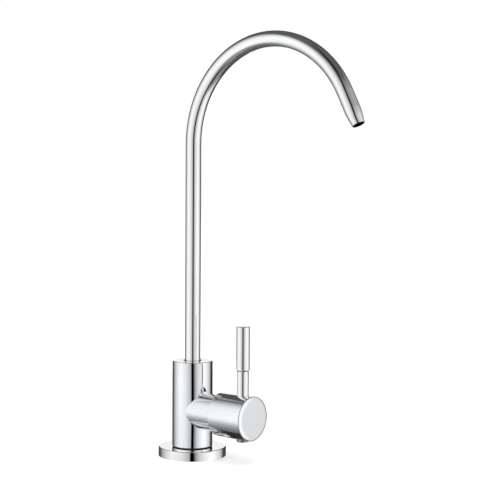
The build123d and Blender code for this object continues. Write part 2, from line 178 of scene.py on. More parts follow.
@dataclass(frozen=True)
class Finish:
    """One surface finish: two tones in patches, a dullness that varies and a fine relief.

    Its noises read the piece's own coordinates, and their sizes and depths are real ones.
    """

    name: str
    colour: str
    axis: Axis = Axis.UPRIGHT
    other_colour: str = "#808080"
    metallic: float = 0.0
    ior: float = 1.5
    patch_size: float = 3 * MM
    patch_detail: float = 2.0
    roughness: tuple[float, float] = (0.3, 0.5)
    grain_size: float = 0.3 * MM
    grain_detail: float = 2.0
    relief_depth: float = 0.01 * MM

    def make(self) -> bpy.types.Material:
        """Build the finish's material.

        Returns:
            The material, with its shader tree.
        """
        material, tree = new_material(self.name)
        shader = add_node(tree, "BsdfPrincipled", {"Metallic": self.metallic, "IOR": self.ior})
        add_node(tree, "OutputMaterial", links={"Surface": shader.outputs["BSDF"]})
        place = add_node(tree, "TexCoord").outputs["Object"]
        if self.axis is Axis.ACROSS:
            turned = {"Rotation": (0.0, QUARTER_TURN, 0.0)}
            place = add_node(tree, "Mapping", turned, {"Vector": place}).outputs["Vector"]
        patches = self.patches(tree, place)
        feeds = {
            "Base Color": self.tint(tree, patches),
            "Roughness": self.spread(tree, self.dullness(tree, place, patches)),
            "Normal": self.relief(tree, self.height(tree, place, patches)),
        }
        for name, source in feeds.items():
            tree.links.new(source, shader.inputs[name])
        return material

    def patches(self, tree: bpy.types.NodeTree, place: Any) -> Any:
        """Part the surface into patches of the finish's two tones.

        Args:
            tree: The material's node tree.
            place: Output that gives the surface's place, with the piece's axis along Z.

        Returns:
            Output from 0 to 1 that chooses between the tones.
        """
        return self.noise(tree, place, self.patch_size, self.patch_detail)

    def dullness(self, tree: bpy.types.NodeTree, place: Any, patches: Any) -> Any:
        """Choose what the dullness follows: the patches, unless the finish has its own marks.

        Args:
            tree: The material's node tree.
            place: Output that gives the surface's place.
            patches: Output of the patches.

        Returns:
            Output from 0 to 1, from the brightest to the dullest.
        """
        return patches

    def height(self, tree: bpy.types.NodeTree, place: Any, patches: Any) -> Any:
        """Choose what the relief follows: a fine grain, unless the finish has its own marks.

        Args:
            tree: The material's node tree.
            place: Output that gives the surface's place.
            patches: Output of the patches.

        Returns:
            Output from 0 to 1, from the lowest to the highest.
        """
        return self.noise(tree, place, self.grain_size, self.grain_detail)

    def noise(self, tree: bpy.types.NodeTree, place: Any, size: float, detail: float) -> Any:
        """Add an even noise of one size.

        Args:
            tree: The material's node tree.
            place: Output that gives the surface's place.
            size: Size of the noise's patches, in metres.
            detail: How many finer layers it has.

        Returns:
            The noise's output, from 0 to 1.
        """
        settings = {"Scale": 1 / size, "Detail": detail}
        return add_node(tree, "TexNoise", settings, {"Vector": place}).outputs[0]

    def spread(self, tree: bpy.types.NodeTree, source: Any) -> Any:
        """Map a noise onto the finish's range of roughness.

        Args:
            tree: The material's node tree.
            source: Output to map, from 0 to 1.

        Returns:
            The roughness's output.
        """
        low, high = self.roughness
        settings = {"From Min": NOISE_LOW, "From Max": NOISE_HIGH, "To Min": low, "To Max": high}
        return add_node(tree, "MapRange", settings, {"Value": source}).outputs["Result"]

    def tint(self, tree: bpy.types.NodeTree, source: Any) -> Any:
        """Blend the finish's two colours by a noise.

        Args:
            tree: The material's node tree.
            source: Output from 0 to 1 that chooses between the two.

        Returns:
            The blended colour's output.
        """
        ramp = add_node(tree, "ValToRGB", links={"Fac": source})
        stops = [(NOISE_LOW, linear(self.colour)), (NOISE_HIGH, linear(self.other_colour))]
        set_ramp(ramp, stops)
        return ramp.outputs["Color"]

    def relief(self, tree: bpy.types.NodeTree, source: Any) -> Any:
        """Turn a height into a bump of the finish's depth.

        Args:
            tree: The material's node tree.
            source: Height output from 0 to 1.

        Returns:
            The normal's output.
        """
        settings = {"Strength": 1.0, "Distance": self.relief_depth}
        return add_node(tree, "Bump", settings, {"Height": source}).outputs["Normal"]


@dataclass(frozen=True)
class ChromePlate(Finish):
    """Bright chromium plate over nickel on polished brass: a cool mirror, clean and new.

    It has faint cool patches, a haze from buffing and the polished brass's slight waves.
    """

    other_colour: str = "#F8F9FB"
    metallic: float = 1.0
    patch_size: float = 14 * MM
    roughness: tuple[float, float] = (0.015, 0.045)
    grain_size: float = 3.5 * MM
    grain_detail: float = 1.0
    relief_depth: float = 0.0006 * MM
    buffing_size: float = 2.5 * MM
    buffing_detail: float = 5.0

    def dullness(self, tree: bpy.types.NodeTree, place: Any, patches: Any) -> Any:
        """Let the dullness follow the buffing's haze.

        Args:
            tree: The material's node tree.
            place: Output that gives the surface's place.
            patches: Output of the patches.

        Returns:
            The haze's output.
        """
        return self.noise(tree, place, self.buffing_size, self.buffing_detail)


@dataclass(frozen=True)
class TurnedBrass(Finish):
    """Free-cutting brass straight from the lathe: warm yellow with fine tool rings."""

    other_colour: str = "#B08D46"
    metallic: float = 1.0
    patch_detail: float = 4.0
    roughness: tuple[float, float] = (0.24, 0.4)
    relief_depth: float = 0.006 * MM
    feed: float = 0.35 * MM
    ring_distortion: float = 0.4

    def height(self, tree: bpy.types.NodeTree, place: Any, patches: Any) -> Any:
        """Let the relief follow the tool's rings, one at each feed along the axis.

        Args:
            tree: The material's node tree.
            place: Output that gives the surface's place.
            patches: Output of the patches.

        Returns:
            The rings' output.
        """
        bands_per_unit = 20 / math.tau
        settings = {
            "wave_type": "BANDS",
            "bands_direction": "Z",
            "Distortion": self.ring_distortion,
            "Scale": 1 / (bands_per_unit * self.feed),
        }
        return add_node(tree, "TexWave", settings, {"Vector": place}).outputs[0]


@dataclass(frozen=True)
class ZincPlate(Finish):
    """Bright zinc on pressed steel: pale grey with a faint blue cast and cloudy patches."""

    other_colour: str = "#AEB4BE"
    metallic: float = 1.0
    patch_size: float = 4 * MM
    patch_detail: float = 4.0
    roughness: tuple[float, float] = (0.28, 0.45)


@dataclass(frozen=True)
class BrightStainless(Finish):
    """Cold-drawn stainless steel: grey, with fine lines along the wire or round the screw."""

    other_colour: str = "#8F9398"
    metallic: float = 1.0
    patch_size: float = 0.8 * MM
    patch_detail: float = 4.0
    roughness: tuple[float, float] = (0.2, 0.34)
    relief_depth: float = 0.003 * MM
    flattening: float = 8.0

    def patches(self, tree: bpy.types.NodeTree, place: Any) -> Any:
        """Draw the patches out into lines across the piece's axis.

        Args:
            tree: The material's node tree.
            place: Output that gives the surface's place, with the piece's axis along Z.

        Returns:
            The lines' output.
        """
        settings = {"Scale": (1.0, 1.0, self.flattening)}
        flat = add_node(tree, "Mapping", settings, {"Vector": place}).outputs["Vector"]
        return self.noise(tree, flat, self.patch_size, self.patch_detail)

    def height(self, tree: bpy.types.NodeTree, place: Any, patches: Any) -> Any:
        """Let the relief follow the lines.

        Args:
            tree: The material's node tree.
            place: Output that gives the surface's place.
            patches: Output of the lines.

        Returns:
            The lines' output.
        """
        return patches


@dataclass(frozen=True)
class MouldedRubber(Finish):
    """Moulded black rubber: dull, with the mould's fine grain and a greyish bloom."""

    other_colour: str = "#2A2B2D"
    patch_size: float = 5 * MM
    patch_detail: float = 5.0
    roughness: tuple[float, float] = (0.62, 0.8)
    grain_size: float = 0.25 * MM
    relief_depth: float = 0.02 * MM


@dataclass(frozen=True)
class MouldedAcetal(Finish):
    """Moulded black acetal: smoother than rubber, with a waxy sheen and flow marks."""

    other_colour: str = "#202124"
    ior: float = 1.48
    patch_size: float = 2 * MM
    patch_detail: float = 3.0
    roughness: tuple[float, float] = (0.35, 0.5)
    grain_size: float = 0.4 * MM
    relief_depth: float = 0.006 * MM


@dataclass(frozen=True)
class LappedCeramic(Finish):
    """Alumina disc, fired and lapped: creamy white, satin, with specks of the fired grain."""

    other_colour: str = "#E6E2D8"
    ior: float = 1.76
    patch_size: float = 0.35 * MM
    patch_detail: float = 3.0
    roughness: tuple[float, float] = (0.2, 0.32)
    relief_depth: float = 0.002 * MM

    def height(self, tree: bpy.types.NodeTree, place: Any, patches: Any) -> Any:
        """Let the relief follow the fired grain's specks.

        Args:
            tree: The material's node tree.
            place: Output that gives the surface's place.
            patches: Output of the specks.

        Returns:
            The specks' output.
        """
        return patches


def select_none() -> None:
    """Deselect every object, so that an operator acts on its own piece alone."""
    if bpy.context.object and bpy.context.object.mode == "EDIT":
        bpy.ops.object.mode_set(mode="OBJECT")
    bpy.ops.object.select_all(action="DESELECT")


def select_alone(piece: bpy.types.Object) -> None:
    """Select one piece alone and make it the active one.

    Args:
        piece: The piece.
    """
    select_none()
    piece.select_set(True)
    bpy.context.view_layer.objects.active = piece


def select_edges(piece: bpy.types.Object, test: Callable[[bmesh.types.BMEdge], bool]) -> None:
    """Select only those edges of the piece in edit mode that pass a test.

    Args:
        piece: The piece that is in edit mode.
        test: Takes an edge and says if it passes.
    """
    bpy.ops.mesh.select_all(action="DESELECT")
    mesh = bmesh.from_edit_mesh(piece.data)
    for edge in mesh.edges:
        if test(edge):
            edge.select_set(True)
    bmesh.update_edit_mesh(piece.data)


def settle() -> None:
    """Move the place, turn and scale of the selected piece into its mesh."""
    bpy.ops.object.transform_apply(location=True, rotation=True, scale=True)


def start_editing() -> None:
    """Go into edit mode on the active piece, with all of it selected."""
    bpy.ops.object.mode_set(mode="EDIT")
    bpy.ops.mesh.select_all(action="SELECT")


def end_editing() -> None:
    """Turn the edited piece's faces outwards and leave edit mode."""
    bpy.ops.mesh.select_all(action="SELECT")
    bpy.ops.mesh.normals_make_consistent(inside=False)
    bpy.ops.object.mode_set(mode="OBJECT")


def turn_piece(
    name: str, outline: Sequence[tuple[float, float]], segments: int
) -> bpy.types.Object:
    """Turn a closed outline about the Z axis, ring by ring, into a hollow solid.

    Args:
        name: Name of the piece.
        outline: Radius and height of each corner, in order round the wall's section.
        segments: Number of faces round the axis.

    Returns:
        The turned piece, at the origin.
    """
    ends = (outline[0], outline[-1])

    def on_an_end(edge: bmesh.types.BMEdge) -> bool:
        """Say if an edge lies on the outline's first or last ring."""
        return all(
            any(
                abs(point.co.xy.length - end_radius) < CHOICE_DISTANCE
                and abs(point.co.z - end_height) < CHOICE_DISTANCE
                for end_radius, end_height in ends
            )
            for point in edge.verts
        )

    select_none()
    radius, height = outline[0]
    bpy.ops.mesh.primitive_circle_add(
        vertices=segments, radius=radius, fill_type="NOTHING", location=(0.0, 0.0, height)
    )
    piece = bpy.context.object
    piece.name = name
    settle()
    start_editing()
    for next_radius, next_height in outline[1:]:
        rise = (0.0, 0.0, next_height - height)
        bpy.ops.mesh.extrude_edges_move(TRANSFORM_OT_translate={"value": rise})
        growth = next_radius / radius
        middle = (0.0, 0.0, next_height)
        bpy.ops.transform.resize(value=(growth, growth, 1.0), center_override=middle)
        radius, height = next_radius, next_height
    select_edges(piece, on_an_end)
    bpy.ops.mesh.bridge_edge_loops()
    end_editing()
    return piece


def combine(piece: bpy.types.Object, other: bpy.types.Object, operation: str) -> None:
    """Join a piece with another one or cut it back to it, which uses the other up.

    Args:
        piece: The piece that keeps the result.
        other: The piece to combine it with.
        operation: Name of the boolean operation.
    """
    select_alone(piece)
    change = piece.modifiers.new(operation.lower(), "BOOLEAN")
    change.operation = operation
    change.solver = "EXACT"
    change.object = other
    bpy.ops.object.modifier_apply(modifier=change.name)
    bpy.data.objects.remove(other)


@dataclass
class Thread:
    """One external thread with 60 degree flanks, its crest and root cut flat.

    Its shares are parts of the pitch, and the spare turns are cut off at each end.
    """

    diameter: float
    pitch: float
    low: float
    high: float
    depth_share: float = 0.6134
    crest_share: float = 1 / 8
    root_share: float = 1 / 4
    spare_turns: int = 2
    steps: int = 40
    block_segments: int = 32

    @property
    def middle(self) -> float:
        """Height of the middle of the thread's length."""
        return (self.low + self.high) / 2

    def draw_section(self) -> bpy.types.Object:
        """Draw the section of one turn, from its root up to the next one.

        Returns:
            The section, as a line of four edges.
        """
        depth = self.depth_share * self.pitch
        crest = self.crest_share * self.pitch
        root = self.root_share * self.pitch
        flank = (self.pitch - crest - root) / 2
        lowest = self.low - self.spare_turns * self.pitch
        start = (self.diameter / 2 - depth, 0.0, lowest)
        moves = ((0.0, root), (depth, flank), (0.0, crest), (-depth, flank))
        select_none()
        bpy.ops.mesh.primitive_plane_add(size=self.pitch, location=start)
        section = bpy.context.object
        section.name = "thread"
        settle()
        start_editing()
        bpy.ops.mesh.merge(type="CENTER")
        for outward, upward in moves:
            move = (outward, 0.0, upward)
            bpy.ops.mesh.extrude_vertices_move(TRANSFORM_OT_translate={"value": move})
        bpy.ops.object.mode_set(mode="OBJECT")
        return section

    def wind(self, section: bpy.types.Object) -> None:
        """Wind the section up the Z axis, over the thread's length and the spare turns.

        Args:
            section: The section, which becomes the thread's surface.
        """
        turns = math.ceil((self.high - self.low) / self.pitch)
        winding = section.modifiers.new("winding", "SCREW")
        winding.axis = "Z"
        winding.screw_offset = self.pitch
        winding.iterations = turns + 2 * self.spare_turns
        winding.steps = winding.render_steps = self.steps
        bpy.ops.object.modifier_apply(modifier=winding.name)

    def close_end(self, bar: bpy.types.Object, side: int) -> None:
        """Close one end of the wound surface with a fan of faces to a point on the axis.

        Args:
            bar: The wound surface, in edit mode.
            side: -1 for the lower end and 1 for the upper one.
        """
        select_edges(
            bar, lambda edge: edge.is_boundary and (edge.verts[0].co.z - self.middle) * side > 0
        )
        bpy.ops.mesh.extrude_edges_move()
        mesh = bmesh.from_edit_mesh(bar.data)
        rim = [point for point in mesh.verts if point.select]
        tip = Vector((0.0, 0.0, sum(point.co.z for point in rim) / len(rim)))
        for point in rim:
            point.co = tip
        bmesh.update_edit_mesh(bar.data)
        bpy.ops.mesh.merge(type="CENTER")

    def build(self) -> bpy.types.Object:
        """Wind the thread, close its ends and cut both of them square with a plain block.

        Returns:
            The threaded bar, closed at both ends.
        """
        bar = self.draw_section()
        self.wind(bar)
        start_editing()
        bpy.ops.mesh.remove_doubles(threshold=MERGE_DISTANCE)
        for side in (-1, 1):
            self.close_end(bar, side)
        end_editing()
        select_none()
        bpy.ops.mesh.primitive_cylinder_add(
            vertices=self.block_segments,
            radius=self.diameter,
            depth=self.high - self.low,
            location=(0.0, 0.0, self.middle),
        )
        block = bpy.context.object
        settle()
        combine(bar, block, "INTERSECT")
        return bar


def put_finish(node_names: Sequence[str], finish: Finish) -> None:
    """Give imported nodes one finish.

    Args:
        node_names: The nodes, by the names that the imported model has.
        finish: The finish for all of them.
    """
    material = finish.make()
    for name in node_names:
        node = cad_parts[name]
        node.data.materials.clear()
        node.data.materials.append(material)
        log.info("%s: %s", name, finish.name)


@dataclass
class SubAssembly:
    """Pieces that go together: it may model some, and it dresses all of them."""

    def build(self) -> None:
        """Model the sub-assembly's own pieces, where it has any."""

    def dress(self) -> None:
        """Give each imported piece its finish."""
        raise NotImplementedError


@dataclass
class Body(SubAssembly):
    """The plated body and flange, with the seals between them and the worktop; the black seal
    under the body also paints the shade line at its foot.
    """

    plate: Finish = ChromePlate("chrome_plated_body", "#F5F6F8")
    flange_plate: Finish = ChromePlate("chrome_plated_flange", "#F4F5F7")
    rubber: Finish = MouldedRubber("rubber_gaskets_and_painted_shade_line", "#171718")

    def dress(self) -> None:
        """Give each piece of the body its finish."""
        put_finish(["tap_body"], self.plate)
        put_finish(["base_flange"], self.flange_plate)
        # base_seal is a real seal whose near-black also paints the shade line where the body
        # meets the flange; the deck gasket and shank seal are real black rubber
        put_finish(["base_seal", "deck_gasket", "shank_seal"], self.rubber)


@dataclass
class Spout(SubAssembly):
    """The bent tube with its spigot, seals and snap ring, and the bush that guides it."""

    plate: Finish = ChromePlate("chrome_plated_tube", "#F5F6F8")
    brass: Finish = TurnedBrass("turned_brass_spigot", "#C8A45A")
    rubber: Finish = MouldedRubber("moulded_rubber_rings", "#161617")
    steel: Finish = BrightStainless("stainless_snap_ring", "#A4A8AC")
    acetal: Finish = MouldedAcetal("moulded_acetal_bush", "#131315")

    def dress(self) -> None:
        """Give each piece of the spout its finish."""
        put_finish(["spout_tube"], self.plate)
        put_finish(["spout_spigot"], self.brass)
        put_finish(["spout_seal_lower", "spout_seal_upper"], self.rubber)
        put_finish(["spout_snap_ring"], self.steel)
        put_finish(["spout_bush"], self.acetal)


@dataclass
class Handle(SubAssembly):
    """The cap with its lever and clamping screw, and the black ring that parts rod and grip and
    paints the shade line between them.
    """

    plate: Finish = ChromePlate("chrome_plated_handle", "#F5F6F8")
    grip_plate: Finish = ChromePlate("chrome_plated_lever", "#F4F6F8")
    steel: Finish = BrightStainless("stainless_clamping_screw", "#9DA1A6")
    rubber: Finish = MouldedRubber("painted_shade_line_rubber", "#121213")

    # Thin black ring in the groove between the rod and its grip, whose black paints the shade
    # line there
    ring_inner: float = 3.2 * MM
    ring_outer: float = 3.68 * MM
    ring_height: float = 0.36 * MM
    ring_edge: float = 0.06 * MM
    ring_gap: float = 0.02 * MM
    ring_segments: int = 64
    smooth_angle: float = math.radians(50)

    def make_shade_line_ring(self) -> bpy.types.Object:
        """Turn the thin black ring that fills the groove under the grip and paints its shade
        line.

        Returns:
            The ring, round the lever's axis.
        """
        lowest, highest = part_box("lever_grip")
        high = lowest[2] - self.ring_gap
        low = high - self.ring_height
        edge = self.ring_edge
        outline = [
            (self.ring_inner, low),
            (self.ring_outer - edge, low),
            (self.ring_outer, low + edge),
            (self.ring_outer, high - edge),
            (self.ring_outer - edge, high),
            (self.ring_inner, high),
        ]
        ring = turn_piece("shade_line_ring", outline, self.ring_segments)
        lever_axis = [(start + end) / 2 for start, end in zip(lowest[:2], highest[:2])]
        bpy.ops.transform.translate(value=(*lever_axis, 0.0))
        settle()
        bpy.ops.object.shade_smooth_by_angle(angle=self.smooth_angle)
        return ring

    def build(self) -> None:
        """Make the black ring that paints the shade line under the grip, and let it turn with
        the lever.
        """
        ring = self.make_shade_line_ring()
        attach(ring, "handle")
        # Its near-black rubber finish paints the shade line in the groove under the grip
        ring.data.materials.append(self.rubber.make())
        log.info("shade_line_ring: %s, %d faces", self.rubber.name, len(ring.data.polygons))

    def dress(self) -> None:
        """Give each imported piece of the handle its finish."""
        put_finish(["handle_cap"], self.plate)
        put_finish(["lever_rod", "lever_grip"], self.grip_plate)
        put_finish(["handle_screw"], self.steel)


@dataclass
class Valve(SubAssembly):
    """The headwork, spindle and ceramic discs inside the body's stub."""

    brass: Finish = TurnedBrass("turned_brass_headwork", "#C8A45A", Axis.ACROSS)
    ceramic: Finish = LappedCeramic("lapped_alumina_discs", "#F2EFE8")
    rubber: Finish = MouldedRubber("moulded_rubber_valve_seals", "#161617")
    steel: Finish = BrightStainless("stainless_spindle_clip", "#A4A8AC", Axis.ACROSS)

    def dress(self) -> None:
        """Give each piece of the valve its finish."""
        put_finish(["headwork_body", "valve_spindle", "stop_ring"], self.brass)
        put_finish(["fixed_disc", "moving_disc"], self.ceramic)
        seals = ["headwork_seal", "seat_seal", "spindle_seal_inner", "spindle_seal_outer"]
        put_finish(seals, self.rubber)
        put_finish(["spindle_clip"], self.steel)


@dataclass
class Fixings(SubAssembly):
    """The threaded shank and what clamps it under the worktop."""

    # Shank: 12 mm thread above, 7/16 inch thread with 24 turns to the inch at its inlet end.
    # The upper thread starts a little above the shoulder, off the plane of its edge.
    shank_diameter: float = 12.0 * MM
    shank_pitch: float = 1.5 * MM
    inlet_diameter: float = 11.11 * MM
    inlet_pitch: float = INCH / 24
    inlet_length: float = 13.0 * MM
    bore_diameter: float = 5.0 * MM
    socket_diameter: float = 6.5 * MM
    socket_depth: float = 15.0 * MM
    end_chamfer: float = 0.6 * MM
    thread_rise: float = 0.12 * MM
    shank_segments: int = 96
    smooth_angle: float = math.radians(25)

    brass: Finish = TurnedBrass("turned_brass_shank", "#C8A45A")
    nut_brass: Finish = TurnedBrass("turned_brass_nut", "#C9A65E")
    zinc: Finish = ZincPlate("zinc_plated_washers", "#C3C8CE")
    rubber: Finish = MouldedRubber("moulded_rubber_washer", "#1A1A1B")

    def make_wall(self, low: float, high: float) -> bpy.types.Object:
        """Turn the shank's wall with its chamfers, bore and socket, and no threads yet.

        Args:
            low: Height of the inlet end.
            high: Height of the end in the body.

        Returns:
            The plain hollow shank.
        """
        shoulder = low + self.inlet_length
        socket_end = low + self.socket_depth
        radius = self.shank_diameter / 2
        inlet = self.inlet_diameter / 2
        bore = self.bore_diameter / 2
        socket = self.socket_diameter / 2
        edge = self.end_chamfer
        outline = [
            (socket + edge, low),
            (inlet - edge, low),
            (inlet, low + edge),
            (inlet, shoulder),
            (radius - edge, shoulder),
            (radius, shoulder + edge),
            (radius, high - edge),
            (radius - edge, high),
            (bore, high),
            (bore, socket_end),
            (socket, socket_end),
            (socket, low + edge),
        ]
        return turn_piece("shank_wall", outline, self.shank_segments)

    def make_shank(self) -> bpy.types.Object:
        """Cut both threads on one hollow bar, in the place of the plain shank.

        Returns:
            The threaded shank.
        """
        lowest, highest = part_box("shank")
        low, high = lowest[2], highest[2]
        shoulder = low + self.inlet_length
        lap = self.inlet_pitch / 2
        edge = self.end_chamfer
        start = shoulder + self.thread_rise
        wall = self.make_wall(low, high)
        shank = Thread(self.shank_diameter, self.shank_pitch, start, high + edge).build()
        end = Thread(self.inlet_diameter, self.inlet_pitch, low - edge, shoulder + lap).build()
        combine(shank, end, "UNION")
        combine(shank, wall, "INTERSECT")
        shank.name = "threaded_shank"
        shank.data.name = "threaded_shank"
        select_alone(shank)
        bpy.ops.object.shade_smooth_by_angle(angle=self.smooth_angle)
        return shank

    def build(self) -> None:
        """Make the threaded shank and let it stand for the plain one."""
        shank = self.make_shank()
        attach(shank, "base")
        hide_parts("shank")
        shank.data.materials.clear()
        shank.data.materials.append(self.brass.make())
        log.info("threaded_shank: %s, %d faces", self.brass.name, len(shank.data.polygons))

    def dress(self) -> None:
        """Give each packed fixing its finish."""
        put_finish(["mounting_nut"], self.nut_brass)
        put_finish(["backing_washer", "lock_washer"], self.zinc)
        put_finish(["rubber_washer"], self.rubber)


@dataclass
class PaintedReflectionTent:
    """Glowing shell that paints the chrome's reflections: a dark slit for the lens, dark bands,
    a card behind.

    Wall angles are degrees round the tap from the lens, with the slit between each side's
    first stops. Heights are metres above the worktop, and a level of 1 is white. Nothing
    but a mirroring surface sees any of it.
    """

    lens_azimuth: float
    radius: float = 500 * MM
    low: float = -700 * MM
    high: float = 1100 * MM
    wall_segments: int = 96
    # Overall glow of the wall, whose painted levels the chrome shows as reflections
    reflection_glow_level: float = 1.08
    # Painted reflection levels round the tap, left and right of the lens, then by height
    left_wall: Stops = (
        (6.5, 0.0), (8.0, 0.36), (15.0, 0.51), (38.0, 0.78), (72.0, 0.98), (92.0, 0.81),
        (103.0, 0.67), (113.0, 0.52), (124.0, 0.32), (137.0, 0.1), (150.0, 0.02), (180.0, 0.02),
    )
    right_wall: Stops = (
        (5.2, 0.0), (8.0, 0.16), (14.0, 0.34), (25.0, 0.6), (43.0, 0.82), (66.0, 1.0),
        (84.0, 0.9), (92.0, 0.72), (102.0, 0.69), (116.0, 0.42), (127.0, 0.04), (180.0, 0.01),
    )
    wall_heights: Stops = (
        (-0.7, 0.27), (-0.54, 0.3), (-0.36, 0.52), (-0.24, 0.86), (-0.17, 1.0), (0.24, 1.0),
        (0.38, 0.92), (0.5, 0.78), (0.66, 0.45), (0.9, 0.12),
    )
    wall_slant: float = 0.25
    haze_heights: Stops = (
        (-0.7, 0.1), (-0.12, 0.08), (-0.04, 0.0), (0.2, 0.0), (0.36, 0.07), (1.0, 0.09),
    )

    # Glowing white card behind the tap, a painted reflection that only mirrors see
    card_width: float = 230 * MM
    card_low: float = -20 * MM
    card_high: float = 280 * MM
    card_distance: float = 480 * MM
    card_level: float = 0.93

    # Near-black glowing sleeve round the fixings, seen only by mirrors: a painted dark
    # reflection that stands for the worktop and keeps the fixings out of the chrome's mirror
    sleeve_radius: float = 21.5 * MM
    sleeve_top: float = -0.3 * MM
    sleeve_depth: float = 54 * MM
    sleeve_segments: int = 48
    sleeve_level: float = 0.03

    def glowing(self, name: str, level: float) -> tuple[bpy.types.Material, bpy.types.Node]:
        """Start a material that glows and casts no sampled light.

        Args:
            name: The material's name.
            level: How brightly it glows.

        Returns:
            The material and its emission node.
        """
        material, tree = new_material(name)
        material.cycles.emission_sampling = "NONE"
        return material, add_node(tree, "Emission", {"Strength": level})

    def hang(self, name: str, material: bpy.types.Material, surface: Any) -> None:
        """Finish the newest piece of the tent and leave it to mirroring surfaces alone.

        Args:
            name: The piece's name.
            material: Its material, which has no output yet.
            surface: Output that the material's own output shows.
        """
        piece = bpy.context.object
        piece.name = name
        settle()
        add_node(material.node_tree, "OutputMaterial", links={"Surface": surface})
        piece.data.materials.append(material)
        piece.visible_camera = piece.visible_diffuse = piece.visible_shadow = False

    def height_ramp(self, tree: bpy.types.NodeTree, height: Any, stops: Stops) -> Any:
        """Read a level from a place's height.

        Args:
            tree: Node tree that takes the nodes.
            height: Output that gives the height in metres.
            stops: Height and level of each stop.

        Returns:
            The level's output.
        """
        settings = {"From Min": self.low, "From Max": self.high}
        share = add_node(tree, "MapRange", settings, {"Value": height}).outputs["Result"]
        ramp = add_node(tree, "ValToRGB", links={"Fac": share})
        span = self.high - self.low
        set_ramp(ramp, [((place - self.low) / span, level) for place, level in stops])
        return ramp.outputs["Color"]

    def wall_ramp(self, tree: bpy.types.NodeTree, rightward: Any, backward: Any) -> Any:
        """Read the wall's level from its angle round the tap.

        Args:
            tree: Node tree that takes the nodes.
            rightward: Output that gives how far to the lens's right the surface is.
            backward: Output that gives how far behind the tap it is.

        Returns:
            The level's output.
        """
        forward = calculate(tree, "MULTIPLY", backward, -1.0)
        around = calculate(tree, "ARCTAN2", rightward, forward)
        settings = {"From Min": -math.pi, "From Max": math.pi}
        turn = add_node(tree, "MapRange", settings, {"Value": around}).outputs["Result"]
        ramp = add_node(tree, "ValToRGB", links={"Fac": turn})
        stops = [(0.5 - angle / 360, level) for angle, level in reversed(self.left_wall)]
        stops += [(0.5 + angle / 360, level) for angle, level in self.right_wall]
        set_ramp(ramp, stops)
        return ramp.outputs["Color"]

    def reflection_glow(self, tree: bpy.types.NodeTree) -> Any:
        """Paint the wall's glow level from its place: painted reflection levels by angle and
        height, with a faint glow behind.

        Args:
            tree: Node tree that takes the nodes.

        Returns:
            The level's output.
        """
        place = add_node(tree, "TexCoord").outputs["Object"]
        turned = {"Rotation": (0.0, 0.0, -self.lens_azimuth)}
        facing = add_node(tree, "Mapping", turned, {"Vector": place}).outputs["Vector"]
        rightward, backward, height = add_node(tree, "SeparateXYZ", links={0: facing}).outputs
        slanted = calculate(tree, "MULTIPLY_ADD", rightward, self.wall_slant, height)
        by_angle = self.wall_ramp(tree, rightward, backward)
        by_height = self.height_ramp(tree, slanted, self.wall_heights)
        lit = calculate(tree, "MULTIPLY", by_angle, by_height)
        behind = calculate(tree, "GREATER_THAN", backward, 0.0)
        haze_by_height = self.height_ramp(tree, height, self.haze_heights)
        haze = calculate(tree, "MULTIPLY", behind, haze_by_height)
        level = calculate(tree, "MAXIMUM", lit, haze)
        return calculate(tree, "MULTIPLY", level, self.reflection_glow_level)

    def make_wall(self) -> None:
        """Hang the round glowing wall that paints the chrome's reflections."""
        bpy.ops.mesh.primitive_cylinder_add(
            vertices=self.wall_segments,
            radius=self.radius,
            depth=self.high - self.low,
            location=(0.0, 0.0, (self.low + self.high) / 2),
        )
        material, glow = self.glowing("painted_reflection_wall", self.reflection_glow_level)
        tree = material.node_tree
        tree.links.new(self.reflection_glow(tree), glow.inputs["Strength"])
        self.hang("painted_reflection_tent", material, glow.outputs[0])

    def make_card(self) -> None:
        """Stand the glowing card behind the tap, square to the lens: a painted reflection for
        the chrome.
        """
        behind = Vector((-math.sin(self.lens_azimuth), math.cos(self.lens_azimuth), 0.0))
        place = behind * self.card_distance
        place.z = (self.card_low + self.card_high) / 2
        upright = (QUARTER_TURN, 0.0, self.lens_azimuth)
        bpy.ops.mesh.primitive_plane_add(size=1.0, location=place, rotation=upright)
        bpy.context.object.scale = (self.card_width, self.card_high - self.card_low, 1.0)
        material, glow = self.glowing("painted_reflection_card", self.card_level)
        self.hang("painted_reflection_card", material, glow.outputs[0])

    def make_sleeve(self) -> None:
        """Paint a dark reflection that stands for the worktop round the fixings: seen from
        outside, and clear from within.
        """
        bpy.ops.mesh.primitive_cylinder_add(
            vertices=self.sleeve_segments,
            radius=self.sleeve_radius,
            depth=self.sleeve_depth,
            location=(0.0, 0.0, self.sleeve_top - self.sleeve_depth / 2),
        )
        material, glow = self.glowing("painted_dark_reflection", self.sleeve_level)
        tree = material.node_tree
        inside = add_node(tree, "NewGeometry").outputs["Backfacing"]
        clear = add_node(tree, "BsdfTransparent").outputs[0]
        shell = add_node(tree, "MixShader", links={0: inside, 1: glow.outputs[0], 2: clear})
        self.hang("dark_reflection_sleeve", material, shell.outputs[0])

    def build(self) -> None:
        """Hang the glowing wall and card, which paint the chrome's reflections, and the dark
        sleeve that hides the fixings from the mirror.
        """
        self.make_wall()
        self.make_card()
        self.make_sleeve()


@dataclass(frozen=True)
class Lamp:
    """One square soft lamp, which a mirroring surface doesn't see."""

    name: str
    place: tuple[float, float, float]
    size: float
    power: float

    def hang(self, aim_height: float) -> None:
        """Hang the lamp so that it faces the tap.

        Args:
            aim_height: Height on the tap's axis that it faces.
        """
        data = bpy.data.lights.new(self.name, "AREA")
        data.size = self.size
        data.energy = self.power
        lamp = bpy.data.objects.new(self.name, data)
        bpy.context.scene.collection.objects.link(lamp)
        lamp.location = self.place
        away = lamp.location - Vector((0.0, 0.0, aim_height))
        lamp.rotation_euler = away.to_track_quat("Z", "Y").to_euler()
        lamp.visible_glossy = False


